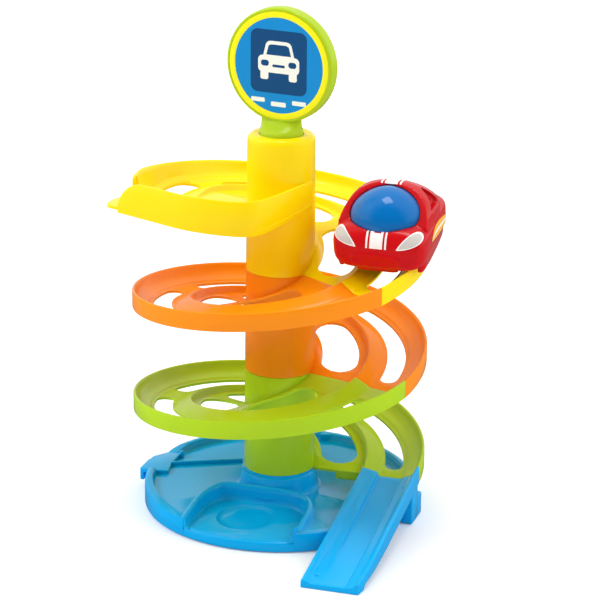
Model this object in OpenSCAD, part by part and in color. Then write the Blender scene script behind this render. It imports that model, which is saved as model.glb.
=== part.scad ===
// Toy spiral car ramp: round base, three stacked spiral tiers, exit ramp, round sign and a toy car.
// Millimetres. Origin on the tower axis at the floor, +Z up, parking bay and exit ramp towards -Y.

/* [Tower] */
// Outer radius of the spiral tracks
track_r = 110; // [90:1:140]
// Height of one tier
tier_h = 78; // [66:1:100]
// Angle left free between the two ends of one tier
tier_gap = 15.5; // [10:0.5:25]
// Height of the hub that carries the lowest column
hub_h = 29; // [24:1:40]
// Outer radius of the lowest column at its foot
col_r = 26.7; // [22:0.1:32]
// How much each column narrows from foot to top
col_taper = 0.5; // [0.2:0.1:0.8]
// Wall thickness of the columns
col_wall = 2.2; // [1.6:0.1:3]
// Height of the spigot that plugs into the next column
spigot_h = 8; // [5:1:12]
// Clearance of plugged joints
plug_gap = 0.15; // [0.1:0.05:0.4]

/* [Track] */
// Thickness of the moulded track sheet
sheet = 2; // [1.6:0.1:3]
// Height of the outer wall over the groove floor
wall_h = 11.4; // [8:0.2:18]
// Thickness of the outer wall
wall_t = 2.1; // [1.6:0.1:3]
// Crest height of the inner lane
crest_h = 5.5; // [3:0.1:8]
// Distance of the inner lane's crest from the track's outer edge
crest_in = 43.4; // [38:0.2:48]
// Distance of the groove's inner side from the track's outer edge
groove_far = 30.7; // [27:0.1:34]
// Distance of the groove's outer side from the track's outer edge
groove_near = 13.4; // [11:0.1:16]
// Distance of the windows' outer side from the track's outer edge
window_edge = 50.7; // [48:0.1:56]
// Width of the ring left between the column and the windows
window_rim = 5.3; // [3:0.1:9]
// How much the descent is delayed to the end of the turn
descent_bias = 0.08; // [0:0.01:0.1]

/* [Platform] */
// Height of the launch platform over the foot of the top tier
plat_up = 46.5; // [40:0.5:56]
// Height of the platform wall over its floor
plat_wall = 22; // [16:0.5:30]
// How far the platform wall reaches below the floor
skirt = 2; // [0:0.5:6]
// Angle where the platform meets the spiral
plat_at = 190; // [180:1:195]
// Height of the top column
top_col_h = 103; // [92:1:115]

/* [Base] */
// Radius of the base
base_r = 102; // [94:1:106]
// Height of the base rim
rim_h = 19; // [14:1:24]
// Height of the base floor
deck_h = 13; // [10:0.5:16]
// Height of the parking bay floor
bay_h = 8.5; // [6:0.5:10]
// Inner width of the parking bay
bay_w = 82; // [70:1:84]
// Height of the raised border around the bay
border_h = 21.5; // [17:0.5:24]
// Wall thickness of the base
base_wall = 2.5; // [2:0.1:3.5]

/* [Exit ramp] */
// Length of the exit ramp
ramp_l = 147.5; // [120:1:180]
// Floor height at the end of the exit ramp
ramp_end_h = 4; // [2.5:0.5:6]

/* [Sign] */
// Radius of the round sign
sign_r = 42.3; // [34:0.1:50]
// Thickness of the sign
sign_t = 11.5; // [8:0.1:14]
// Height of the sign's centre over the top column
sign_up = 51; // [48:0.5:60]
// Direction the sign faces
sign_face = -98; // [-110:1:-80]
// Radius of the round stem
stem_r = 16; // [12:0.1:18]
// Clearance around the turning stem
stem_gap = 0.4; // [0.3:0.05:0.6]
// Thickness of the stickers
label_t = 0.4; // [0.2:0.05:0.6]

/* [Car] */
// Angle of the car on the yellow track
car_at = 7; // [0:1:20]
// Turn of the car away from the track direction
car_yaw = -7; // [-14:1:6]
// Length of the car
car_l = 88; // [76:1:96]
// Width of the car
car_w = 70; // [60:1:72]
// Roof height over the groove floor
car_h = 60; // [56:0.5:62]
// Height of the body's lower edge over the groove floor
sill_h = 13; // [12.6:0.1:15]
// Distance between the axles
wheel_base = 36; // [34:1:40]
// Distance between wheel centres across the car
wheel_track = 24; // [22:1:28]
// Wheel radius
wheel_r = 9.5; // [8:0.1:11]
// Wheel width
wheel_w = 5; // [4:0.5:7]
// Axle radius
axle_r = 1.5; // [1.2:0.1:2]
// Running clearance of the axles in the chassis
axle_gap = 0.3; // [0.3:0.05:0.5]

/* [Hidden] */
sweep = 360 - tier_gap;
crest_r = track_r - crest_in;
groove_in = track_r - groove_far;
groove_out = track_r - groove_near;
window_out = track_r - window_edge;
window_in = col_r + window_rim;
plat_z = tier_z(2) + plat_up;
plat_top = plat_z + plat_wall;
tower_top = tier_z(2) + top_col_h;
sign_z = tower_top + sign_up;
leg_w = 8.6;
leg_x = track_r - 0.4 - leg_w;
leg_gap = 0.8;
lane_gap = 2.3;
joint_gap = 0.05;
seat_gap = 0.05;
step_max = 8;
car_r = (groove_in + groove_out) / 2 - 3.7;
hub_r = foot_r(0) + 1.6;
car_a = car_at + 2 * tier_gap;
car_pitch = atan(slope(2, car_a) * 180 / PI / car_r);
tread_edge = 1;
wheel_gap = 0.75;
wheel_lift = wheel_gap + max([for (s = [-1, 1], e = [-1, 1], d = [-1, 1], c = [0, tread_edge])
  floor_under(e * wheel_track / 2 + d * (wheel_w / 2 - c), s * wheel_base / 2) - tread_edge + c])
  / cos(car_pitch);
axle_z = wheel_lift + wheel_r;
plat_size = track_r / 110;
lip = plat_size * [[-108.2, -19.1], [-111, -13.2], [-119.5, -12.4], [-124.4, -20], [-124.6, -33],
  [-119.5, -38.6], [-113, -40.5]];
front = plat_size * [[-113, -40.5], [-53, -66.3], [-22, -70.2], [-7, -69.2], [2, -64], [7.5, -55],
  [16, -34], [25, -3]];
slots = [[12, 74], [88, 160], [175, 250], [264, 338]];
windows = [[22, 90], [104, 172], [186, 254], [268, 336]];
yellow_slots = [[130, 160], [175, 250], [264, 338]];
yellow_windows = [[186, 254], [268, 336]];
red = "#CE1A1E";
blue = "#12A8E0";
green = "#B4D030";
orange = "#F78F1E";
yellow = "#FFE60D";

// Heights of the tiers and of the spiral floor
function tier_z(k) = hub_h + tier_h * k;
function drop(u) = u - descent_bias * sin(180 * pow(u, 2.2));
function rise(k, a) = tier_z(k) + tier_h * (1 - drop(1 - a / sweep));
function slope(k, a) = (rise(k, a + 2) - rise(k, a - 2)) / 4;
function foot_r(k) = col_r - col_taper * k;
function col_at(k, z) = foot_r(k) - col_taper * (z - tier_z(k)) / tier_h;

// Section of the track: radius and height of the upper skin, then of the lower skin
function section() = [
  [0, 0.5, 0, 0.5 - sheet],
  [window_in, 0.5, window_in, 0.5 - sheet],
  [window_out, 0.5, window_out, 0.5 - sheet],
  [crest_r - 1.6, 0.5, crest_r + 0.4, 0.5 - sheet],
  [crest_r, crest_h, crest_r + 1.7, crest_h - sheet - 0.3],
  [groove_in - 1.3, 1.2, groove_in - 1.3, 1.2 - sheet - 0.2],
  [groove_in, 0, groove_in, -sheet],
  [groove_in + 1.3, 0, groove_in + 1.3, -sheet],
  [groove_out - 2.4, 0, groove_out - 2.4, -sheet],
  [groove_out, 0, groove_out + 0.8, -sheet],
  [groove_out + 1, 1.6, groove_out + 1.8, 1.6 - sheet],
  [track_r - 7.5, 3, track_r - 7.2, 3 - sheet],
  [track_r - 3.7, 6.4, track_r - 4.4, 6.4 - sheet - 0.6],
  [track_r - wall_t, wall_h, track_r - wall_t - 0.2, 5.5],
  [track_r - 1, wall_h + 0.4, track_r - wall_t - 0.1, -sheet],
  [track_r, wall_h - 0.2, track_r, -sheet]];

function in_any(list, s) = len([for (w = list) if (s > w[0] && s < w[1]) 1]) > 0;
function end_marks(list) = [for (w = list) each [w[0], w[0] + 3, w[1] - 3, w[1]]];
function sorted(v) = len(v) < 2 ? v : let (p = v[0])
  concat(sorted([for (x = v) if (x < p) x]), [p], sorted([for (x = v) if (x > p) x]));
function filled(v) = concat([for (i = [0:len(v) - 2]) let (n = ceil((v[i + 1] - v[i]) / step_max))
  for (j = [0:n - 1]) v[i] + (v[i + 1] - v[i]) * j / n], [v[len(v) - 1]]);
function at_end(list, s) = len([for (w = list) if (abs(s - w[0]) < 0.01 || abs(s - w[1]) < 0.01) 1]) > 0;

// Closed skin between stations: pts[j] holds the upper points, then the lower points of station j
function cell_open(open, j, i) = len([for (c = open) if (c[0] == j && c[1] == i) 1]) > 0;
module skin(pts, open) {
  m = len(pts);
  n = len(pts[0]) / 2;
  all_pts = [for (st = pts) each st];
  hole = [for (j = [0:m - 1]) [for (i = [0:n - 1]) cell_open(open, j, i)]];
  tops = [for (j = [0:m - 2]) for (i = [0:n - 2]) if (!hole[j][i])
    let (a = j * 2 * n + i, b = a + 2 * n) each [[a, b, b + 1, a + 1], [a + n, a + n + 1, b + n + 1, b + n]]];
  sides = [for (j = [0:m - 2]) let (a = j * 2 * n, b = a + 2 * n, c = n - 1)
    each [[a, a + n, b + n, b], [a + c, b + c, b + c + n, a + c + n]]];
  caps = [for (i = [0:n - 2]) let (b = (m - 1) * 2 * n + i)
    each [[i, i + 1, i + 1 + n, i + n], [b, b + n, b + n + 1, b + 1]]];
  rims = [for (c = open) let (j = c[0], i = c[1], a = j * 2 * n + i, b = a + 2 * n) each concat(
    [[a, b, b + n, a + n], [a + 1, a + 1 + n, b + 1 + n, b + 1]],
    hole[j - 1][i] ? [] : [[a, a + n, a + n + 1, a + 1]],
    hole[j + 1][i] ? [] : [[b, b + 1, b + n + 1, b + n]])];
  polyhedron(all_pts, concat(tops, sides, caps, rims), convexity = 10);
}

// Spiral track of tier k between the angles a0 and a1 over its low end
module spiral(k, a1, slot_list, window_list, floor_max, wall_extra) {
  sec = section();
  n = len(sec);
  s_marks = concat(end_marks(slot_list), end_marks(window_list), [sweep - a1 + joint_gap, sweep]);
  s_list = filled(sorted(s_marks));
  m = len(s_list);
  pts = [for (j = [0:m - 1]) let (s = s_list[m - 1 - j], a = sweep - s, f = a - tier_gap * k,
    z = min(rise(k, a), floor_max), extra = rise(k, a) - z + wall_extra * max(0, (f - 90) / 91),
    flat = floor_max < 900 ? min(1, (plat_at - f) / 45) : 1,
    ws = at_end(slot_list, s) ? 0.3 : 0, ww = at_end(window_list, s) ? 0.3 : 0)
    concat(
      [for (i = [0:n - 1]) let (r = edge_r(sec, i, 0, k, z, ws, ww))
        [r * cos(f), r * sin(f), z + (i > 12 ? sec[i][1] + extra : sec[i][1] * flat)]],
      [for (i = [0:n - 1]) let (r = edge_r(sec, i, 2, k, z, ws, ww))
        [r * cos(f), r * sin(f), z - sheet + (sec[i][3] + sheet) * (i > 12 ? 1 : flat)]])];
  open = [for (j = [0:m - 2]) let (s = (s_list[m - 1 - j] + s_list[m - 2 - j]) / 2)
    each concat(in_any(window_list, s) ? [[j, 1]] : [], in_any(slot_list, s) ? [[j, 7]] : [])];
  skin(pts, open);
}
function edge_r(sec, i, c, k, z, ws, ww) =
  i == 0 ? col_at(k, z) + seat_gap :
  i == 1 ? sec[1][c] + ww * (sec[2][c] - sec[1][c]) :
  i == 2 ? sec[2][c] - ww * (sec[2][c] - sec[1][c]) :
  i == 7 ? sec[7][c] + ws * (sec[8][c] - sec[7][c]) :
  i == 8 ? sec[8][c] - ws * (sec[8][c] - sec[7][c]) : sec[i][c];

module green_track() color(green) spiral(0, sweep, slots, windows, 999, 0);
module orange_track() color(orange) spiral(1, sweep, slots, windows, 999, 0);
module yellow_track() color(yellow)
  spiral(2, plat_at + 2 * tier_gap, yellow_slots, yellow_windows, plat_z, 4.3);

// Tapered column tube of tier k, with a spigot for the next column
module tube(k) {
  z0 = tier_z(k);
  z1 = tier_z(k + 1);
  r0 = foot_r(k);
  r1 = foot_r(k + 1);
  rs = r1 - col_wall - plug_gap;
  rotate_extrude($fn = 72)
    polygon([[r0 - col_wall, z0], [r0, z0], [r1, z1], [rs, z1], [rs, z1 + spigot_h - 1],
      [rs - 1, z1 + spigot_h], [rs - col_wall, z1 + spigot_h], [rs - col_wall, z1 - 6],
      [r0 - col_wall, z1 - 12]]);
}
module green_column() color(green) tube(0);
module orange_column() color(orange) tube(1);
module yellow_column() color(yellow) {
  z0 = tier_z(2);
  r0 = foot_r(2);
  r1 = r0 - 0.8;
  rh = stem_r + stem_gap;
  rotate_extrude($fn = 72)
    polygon([[r0 - col_wall, z0], [r0, z0], [r1, tower_top - 5], [r1 - 0.5, tower_top - 2.6],
      [r1 - 1.6, tower_top - 0.8], [r1 - 3.4, tower_top], [rh, tower_top], [rh, tower_top - 22],
      [rh - 6, tower_top - 22], [rh - 6, tower_top - 24.2], [rh + 2, tower_top - 24.2],
      [rh + 2, tower_top - 2.4], [r1 - 3.4, tower_top - 2.4], [r1 - col_wall, tower_top - 6]]);
}

// Launch platform: flat floor, tall chord wall, open entry lip at the left
function unit(v) = v / norm(v);
function left_of(a, b) = unit([a[1] - b[1], b[0] - a[0]]);
function inner(p, t) = [for (i = [0:len(p) - 1]) let (
  n0 = left_of(p[max(i - 1, 0)], p[max(i, 1)]),
  n1 = left_of(p[min(i, len(p) - 2)], p[min(i + 1, len(p) - 1)]))
  p[i] + t * (n0 + n1) / (1 + n0 * n1)];
module yellow_platform() color(yellow) {
  edge = concat(lip, [for (i = [1:len(front) - 1]) front[i]]);
  back = inner(front, wall_t);
  difference() {
    union() {
      translate([0, 0, plat_z - sheet]) linear_extrude(sheet) polygon(concat(edge, [[0, 0]]));
      translate([0, 0, plat_z - sheet - skirt]) linear_extrude(plat_top - plat_z + sheet + skirt)
        polygon(concat(front, [for (i = [len(front) - 1:-1:0]) back[i]]));
    }
    translate([0, 0, plat_z - 9]) cylinder(h = 60, r = col_at(2, plat_z) + seat_gap, $fn = 72);
    translate([plat_size * -86, plat_size * -60, plat_top]) rotate([0, -137, 23])
      translate([0, -40, -5]) cube([80, 80, 60]);
    rotate([0, 0, plat_at]) translate([-1, -60, plat_z - 9]) cube([track_r + 1.3, 60, 40]);
  }
}

// Base plan: round, cut straight beside the exit ramp
module plan(inset) difference() {
  circle(base_r - inset, $fn = 96);
  translate([window_out - lane_gap - inset, -base_r - 1]) square([base_r, base_r - 25 + inset]);
  translate([leg_x - leg_gap - inset, -base_r - 1]) square([base_r, base_r + 1 + leg_gap + inset]);
}
module bay_plan(g) {
  hw = bay_w / 2 + g;
  yb = -29 + g;
  rl = 15 + g;
  rr = 22 + g;
  translate([-hw, -base_r - 20]) square([2 * hw, base_r + 20 + yb - rr]);
  translate([-hw, -base_r]) square([rl + 1, base_r + yb - rl]);
  translate([-hw + rl, -base_r]) square([2 * hw - rl - rr, base_r + yb]);
  translate([-hw + rl, yb - rl]) circle(rl, $fn = 48);
  translate([hw - rr, yb - rr]) circle(rr, $fn = 48);
}
module base() color(blue) difference() {
  union() {
    linear_extrude(deck_h) plan(0);
    difference() {
      linear_extrude(rim_h) plan(0);
      translate([0, 0, deck_h]) linear_extrude(rim_h) plan(7);
    }
    linear_extrude(border_h) intersection() {
      circle(base_r - 1.5, $fn = 96);
      bay_plan(5);
    }
    cylinder(h = hub_h - sheet, r1 = hub_r + 1, r2 = hub_r, $fn = 72);
    cylinder(h = hub_h, r = foot_r(0) - 0.1, $fn = 72);
    cylinder(h = hub_h + spigot_h, r = foot_r(0) - col_wall - plug_gap, $fn = 72);
    rotate([0, 0, -167]) translate([base_r - 6, -6, 13]) cube([12, 12, rim_h - 13.5]);
    rotate([0, 0, -167]) translate([base_r + 3, -6, 8]) cube([3, 12, 8]);
    rotate([0, 0, 78]) translate([base_r - 16, -6, deck_h - 1]) cube([12, 12, rim_h - deck_h + 1]);
    translate([base_r - 9, leg_gap, 0]) cube([track_r - base_r + 8.6, 9.6, rim_h - 2]);
  }
  translate([0, 0, bay_h]) linear_extrude(60) difference() {
    bay_plan(0);
    circle(hub_r, $fn = 72);
  }
  translate([-4, -58, bay_h - 3.2]) cylinder(h = 3.3, r1 = 12, r2 = 20, $fn = 60);
  translate([0, 0, -1]) linear_extrude(deck_h - base_wall + 1) difference() {
    plan(base_wall);
    bay_plan(base_wall + 1.5);
    circle(hub_r + 1, $fn = 72);
  }
  translate([0, 0, -1]) linear_extrude(bay_h - 3.2 - base_wall + 1) difference() {
    intersection() {
      plan(base_wall);
      bay_plan(-1);
    }
    circle(hub_r + 1, $fn = 72);
  }
  translate([0, 0, 3]) cylinder(h = hub_h + spigot_h, r = foot_r(0) - 2 * col_wall - plug_gap, $fn = 72);
}

// Exit ramp: the outer part of the track section run straight down to the floor
module exit_ramp() color(blue) {
  sec = [for (i = [2:15]) section()[i]];
  n = len(sec);
  steps = 18;
  pts = [for (j = [0:steps]) let (t = 1 - j / steps, y = -joint_gap - (ramp_l - joint_gap) * t,
    z = ramp_end_h + (hub_h - ramp_end_h) * pow(1 - t, 1.25), fade = 1 - 0.75 * pow(t, 5))
    concat([for (i = [0:n - 1]) [sec[i][0] + (i < 1 ? 5 * t : 0), y, z + sec[i][1] * fade]],
      [for (i = [0:n - 1]) let (low = t > 0.93 ? 0 : max(0, z + sec[i][3] * fade))
        [sec[i][2] + (i < 1 ? 5 * t : 0), y, low]])];
  skin(pts, []);
  translate([leg_x, -16, 0]) cube([leg_w, 15.3, hub_h + 0.4]);
}

// Round sign with its stem
module sign_place() rotate([0, 0, sign_face + 90]) children();
module sign_disc() color("#B5CC2A") sign_place() {
  difference() {
    union() {
      translate([0, 0, sign_z]) rotate([90, 0, 0]) rotate_extrude($fn = 96)
        polygon([[0, -sign_t / 2], [sign_r - 2, -sign_t / 2], [sign_r, -sign_t / 2 + 2],
          [sign_r, sign_t / 2 - 2], [sign_r - 2, sign_t / 2], [0, sign_t / 2]]);
      hull() {
        translate([0, 0, tower_top + 1]) cylinder(h = 1, r = stem_r, $fn = 64);
        translate([-stem_r, -sign_t / 2 + 0.4, sign_z - 43]) cube([2 * stem_r, sign_t - 0.8, 9]);
      }
      translate([0, 0, tower_top - 21.6]) cylinder(h = 27.6, r = stem_r, $fn = 64);
    }
    for (s = [-1, 1]) translate([0, s * (sign_t / 2 + 0.6), sign_z]) rotate([90, 0, 0])
      cylinder(h = 2.4, r = sign_r - 2.4, center = true, $fn = 96);
  }
}
module label_disc(s) sign_place() translate([0, s * (sign_t / 2 - 0.6 + label_t / 2 + 0.02), sign_z])
  rotate([90, 0, 0]) cylinder(h = label_t, r = sign_r - 2.6, center = true, $fn = 96);
module sign_label_front() color("#0288CC") label_disc(-1);
module sign_label_back() color("#0288CC") label_disc(1);

// Car frame: X across (outwards), nose towards -Y, Z from the groove floor
module car_place() rotate([0, 0, car_at]) translate([car_r, 0, rise(2, car_a)])
  rotate([car_pitch, 0, car_yaw]) children();
// Height of the track's skin over the car's own floor plane
function turned(p, a) = [p[0] * cos(a) - p[1] * sin(a), p[0] * sin(a) + p[1] * cos(a)];
function skin_h(r) = lookup(r, [for (p = section()) [p[0], p[1]]]);
function floor_under(x, y) = let (
  p = turned([car_r, 0] + turned([x, y * cos(car_pitch)], car_yaw), car_at),
  a = atan2(p[1], p[0]) + 2 * tier_gap)
  rise(2, a) + skin_h(norm(p)) - rise(2, car_a) - y * sin(car_pitch);

// Length position, half width, belt, shoulder and lower edge of each body section
function car_sections() = let (l = car_l / 2, w = car_w / 2, s = sill_h) [
  [-l, w * 0.54, 22, 27, s + 4], [-l * 0.982, w * 0.72, 24.5, 31, s + 2.5],
  [-l * 0.943, w * 0.85, 26.5, 35.5, s + 1], [-l * 0.886, w * 0.92, 28, 39.5, s + 0.2],
  [-l * 0.795, w * 0.975, 28, 42.3, s], [-l * 0.636, w, 28, 43.3, s], [-l * 0.34, w, 28, 43.5, s],
  [l * 0.11, w * 0.985, 28, 43.3, s], [l * 0.4, w * 0.965, 28, 43.6, s], [l * 0.6, w * 0.95, 28, 42.6, s],
  [l * 0.75, w * 0.905, 28, 40.5, s], [l * 0.86, w * 0.83, 27, 36.5, s + 1],
  [l * 0.94, w * 0.7, 24, 31.5, s + 3]];
// Length position, half width and top of each roof section
function roof_sections() = let (l = car_l / 2, w = car_w / 2, h = car_h) [
  [-l * 0.55, w * 0.96, h + 0.2], [-l * 0.11, w * 0.96, h + 0.6], [l * 0.016, w * 0.96, h - 0.3],
  [l * 0.18, w * 0.95, h - 1.2], [l * 0.295, w * 0.935, h - 2.8], [l * 0.45, w * 0.9, h - 6],
  [l * 0.57, w * 0.86, h - 9.6], [l * 0.68, w * 0.8, h - 13.4], [l * 0.82, w * 0.68, h - 18.6],
  [l * 0.9, w * 0.5, h - 24]];
function power(v, e) = sign(v) * pow(abs(v), e);
function car_ring(c, g) = [for (i = [0:35]) let (t = i * 10, x = cos(t), z = sin(t))
  z >= 0 ? [(c[1] + g) * power(x, 0.55), c[2] + (c[3] + g - c[2]) * power(z, 0.6)]
  : [(c[1] + g) * power(x, 0.38), c[2] + (c[2] - c[4] + g) * power(z, 0.5)]];
function roof_ring(c, g) = [for (i = [0:18]) let (x = cos(i * 10), z = sin(i * 10))
  [(c[1] + g) * power(x, 0.9), 34 + (c[2] + g - 34) * power(z, 0.85)]];
module slices(cs, g, roof) {
  rows = [for (c = cs) [for (p = roof ? roof_ring(c, g) : car_ring(c, g))
    [p[0], c[0] + (!roof && c == cs[0] ? -g : 0), p[1]]]];
  n = len(rows[0]);
  last = n * (len(rows) - 1);
  polyhedron([for (r = rows) each r], concat([[for (i = [n - 1:-1:0]) i]], [[for (i = [0:n - 1]) last + i]],
    [for (j = [0:len(rows) - 2], i = [0:n - 1], t = [0, 1]) let (a = j * n + i, b = j * n + (i + 1) % n)
      t == 0 ? [a, b, b + n] : [a, b + n, a + n]]));
}
module car_shell(g) {
  slices(car_sections(), g, false);
  difference() {
    slices(roof_sections(), g, true);
    translate([0, -21.3, 43.3]) rotate([36.5, 0, 0]) translate([-60, -60, g]) cube([120, 120, 60]);
  }
}
module dome(g) intersection() {
  translate([0, -12, 43.2]) scale([26.5 + g, 24 + g, 19 + g]) sphere(1, $fn = 48);
  translate([-40, -60, 40.5 - g]) cube([80, 100, 60]);
}
module car_body() color(red) car_place() difference() {
  union() {
    car_shell(0);
    translate([-15.5, -41.3, 11.8]) cube([31, 8.2, 8]);
    for (m = [0, 1]) mirror([m, 0, 0]) hull() {
      translate([27.4, -33, sill_h - 3.8]) cube([5, 56, 0.2]);
      translate([27.4, -35, 24]) cube([5.2, 57, 0.2]);
    }
  }
  dome(seat_gap);
  translate([-20, -33, 0]) cube([40, 66, 25.5]);
  for (m = [0, 1]) mirror([m, 0, 0]) hull()
    for (p = [[24.2, -6.5, 44.4], [28, 15.5, 42.2], [27, 16.5, 45], [17, 9.5, 56], [17, 7, 56]])
      translate(p) cube([40, 0.1, 0.1]);
}
module car_window() color("#0A7CC4") car_place() dome(0);
module car_chassis() color("#2B2B2E") car_place() difference() {
  union() {
    translate([-19.9, -32.9, sill_h]) cube([39.8, 65.8, 2.2]);
    translate([-8, -30, 8.5]) cube([16, 60, 16.9]);
  }
  for (s = [-1, 1]) translate([0, s * wheel_base / 2, axle_z]) {
    rotate([0, 90, 0]) cylinder(h = 60, r = axle_r + axle_gap, center = true, $fn = 32);
    for (e = [-1, 1]) translate([e * wheel_track / 2 - wheel_w / 2 - 0.9, -wheel_r - 1, -wheel_r - 1])
      cube([wheel_w + 1.8, 2 * wheel_r + 2, 2 * wheel_r + 2]);
  }
}
module axle(s) car_place() translate([0, s * wheel_base / 2, axle_z]) rotate([0, 90, 0])
  cylinder(h = wheel_track + wheel_w - 1, r = axle_r, center = true, $fn = 32);
module front_axle() color("#B8BABD") axle(-1);
module rear_axle() color("#B8BABD") axle(1);
module wheel(s, e) car_place() translate([e * wheel_track / 2, s * wheel_base / 2, axle_z])
  rotate([0, 90, 0]) rotate_extrude($fn = 48)
    polygon([[axle_r + 0.02, -wheel_w / 2], [wheel_r - tread_edge, -wheel_w / 2],
      [wheel_r, -wheel_w / 2 + tread_edge], [wheel_r, wheel_w / 2 - tread_edge],
      [wheel_r - tread_edge, wheel_w / 2], [axle_r + 0.02, wheel_w / 2]]);
module wheel_front_left() color("#3A3A3C") wheel(-1, 1);
module wheel_front_right() color("#3A3A3C") wheel(-1, -1);
module wheel_rear_left() color("#3A3A3C") wheel(1, 1);
module wheel_rear_right() color("#3A3A3C") wheel(1, -1);

// Stickers follow the body's skin
module sticker() car_place() difference() {
  intersection() {
    car_shell(label_t);
    children();
  }
  car_shell(0.03);
}
module headlight_labels() color("#D8D6D2") sticker() for (s = [-1, 1])
  multmatrix([[s * 0.73, s * -0.52, s * 0.449, s * 23.2], [0.583, -0.03, -0.799, -36.1],
    [0.361, 0.853, 0.3995, 35.35]]) translate([0, 0, -8]) linear_extrude(22) intersection() {
      translate([0, 13.2]) circle(17.5, $fn = 60);
      translate([0, -13.2]) circle(17.5, $fn = 60);
    }
module bonnet_label() color("#F4F2EE") sticker() difference() {
  translate([-7.7, -44.6, 30.8]) cube([15.4, 9.2, 13]);
  dome(1);
}
module roof_label() color("#F4F2EE") sticker() difference() {
  translate([-7.7, 1.8, 44]) cube([15.4, 24.2, 26]);
  dome(1);
}
module side_label(s) sticker() rotate([90, 0, 90]) translate([0, 0, s > 0 ? 24 : -40]) linear_extrude(16)
  polygon([[-19, 27.8], [6, 22], [28, 20.4], [26.5, 27], [10, 32], [-2, 33.2]]);
module side_label_left() color("#F2BC71") side_label(1);
module side_label_right() color("#F2BC71") side_label(-1);

base();
exit_ramp();
green_track();
green_column();
orange_track();
orange_column();
yellow_track();
yellow_platform();
yellow_column();
sign_disc();
sign_label_front();
sign_label_back();
car_body();
car_window();
car_chassis();
front_axle();
rear_axle();
wheel_front_left();
wheel_front_right();
wheel_rear_left();
wheel_rear_right();
headlight_labels();
bonnet_label();
roof_label();
side_label_left();
side_label_right();
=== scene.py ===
import math
import bpy
from mathutils import Matrix, Vector


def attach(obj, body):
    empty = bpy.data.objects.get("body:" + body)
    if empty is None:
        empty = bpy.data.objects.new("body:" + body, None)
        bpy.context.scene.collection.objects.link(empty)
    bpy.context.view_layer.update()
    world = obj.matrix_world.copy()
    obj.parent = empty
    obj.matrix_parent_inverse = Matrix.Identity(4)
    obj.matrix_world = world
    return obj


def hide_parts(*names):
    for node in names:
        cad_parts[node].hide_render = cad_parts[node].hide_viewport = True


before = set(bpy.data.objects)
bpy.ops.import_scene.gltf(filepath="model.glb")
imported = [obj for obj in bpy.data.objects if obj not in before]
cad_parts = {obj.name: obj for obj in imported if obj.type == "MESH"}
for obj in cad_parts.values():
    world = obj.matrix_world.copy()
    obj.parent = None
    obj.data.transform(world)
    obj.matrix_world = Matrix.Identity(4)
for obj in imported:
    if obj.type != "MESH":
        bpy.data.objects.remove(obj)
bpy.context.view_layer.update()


# Base. One large blue ABS moulding that stands on the floor: a round deck with a rolled rim, a parking bay
# with a rounded kerb and a shallow dish, a low hub that takes the lowest column, and connector tabs at the
# left and back. Every piece is drawn in millimetres and brought to metres when it is settled on its body.
def pick(piece):
    """Selects one piece alone and makes it the active one."""
    bpy.ops.object.select_all(action="DESELECT")
    piece.select_set(True)
    bpy.context.view_layer.objects.active = piece


def pick_open_edges():
    """Selects, in edit mode, the edges that border one face only."""
    bpy.ops.mesh.select_mode(type="EDGE")
    bpy.ops.mesh.select_all(action="DESELECT")
    bpy.ops.mesh.select_non_manifold(use_wire=False, use_multi_face=False, use_non_contiguous=False,
                                     use_verts=False)


def loft(name, rings, ring_closed=True, way_closed=False, pierced=(), fill=True):
    """A skin laid over a row of sections, with its open ends filled. Faces to pierce are (row, column)."""
    across = len(rings[0]) - (0 if ring_closed else 1)
    along = len(rings) - (0 if way_closed else 1)
    bpy.ops.object.select_all(action="DESELECT")
    bpy.ops.mesh.primitive_grid_add(x_subdivisions=across, y_subdivisions=along, size=1)
    made = bpy.context.object
    made.name = made.data.name = name
    rows = rings + rings[:1] if way_closed else rings
    points = [p for ring in rows for p in (list(ring) + list(ring[:1]) if ring_closed else ring)]
    for vertex, point in zip(made.data.vertices, points):
        vertex.co = point
    if pierced:
        marks = made.data.attributes.new("pierced", "INT", "FACE")
        for row, column in pierced:
            marks.data[row * across + column].value = 1
    bpy.ops.object.mode_set(mode="EDIT")
    bpy.ops.mesh.select_mode(type="EDGE")
    bpy.ops.mesh.select_all(action="SELECT")
    bpy.ops.mesh.remove_doubles(threshold=0.002)
    if fill:
        pick_open_edges()
        bpy.ops.mesh.edge_face_add()
        bpy.ops.mesh.select_all(action="SELECT")
        bpy.ops.mesh.normals_make_consistent(inside=False)
    bpy.ops.object.mode_set(mode="OBJECT")
    return made


def turned(name, profile, steps=96, closed=True):
    """A profile of radius and height turned round the tower axis."""
    turn = [2 * math.pi * i / steps for i in range(steps)]
    rings = [[(r * math.cos(a), r * math.sin(a), z) for r, z in profile] for a in turn]
    return loft(name, rings, ring_closed=closed, way_closed=True)


def slab(name, outline, low, high):
    """A flat outline pulled up into a plate."""
    return loft(name, [[(x, y, low) for x, y in outline], [(x, y, high) for x, y in outline]])


def finish_with(piece, kind, **settings):
    """Adds a modifier and applies it at once."""
    step = piece.modifiers.new(kind.lower(), kind)
    for key, value in settings.items():
        setattr(step, key, value)
    pick(piece)
    bpy.ops.object.modifier_apply(modifier=step.name)


def soften(piece, width, angle=40, segments=3):
    """Rolls the sharp edges of a moulding."""
    finish_with(piece, "BEVEL", width=width, segments=segments, limit_method="ANGLE",
                angle_limit=math.radians(angle), use_clamp_overlap=True)


def cut(piece, tool, how="DIFFERENCE"):
    """Cuts a piece with a tool, which is used up."""
    finish_with(piece, "BOOLEAN", object=tool, operation=how, solver="EXACT")
    bpy.data.objects.remove(tool)


def joined(pieces, name):
    """One object out of several, without touching their faces."""
    bpy.ops.object.select_all(action="DESELECT")
    for piece in pieces:
        piece.select_set(True)
    bpy.context.view_layer.objects.active = pieces[0]
    bpy.ops.object.join()
    pieces[0].name = pieces[0].data.name = name
    return pieces[0]


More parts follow.
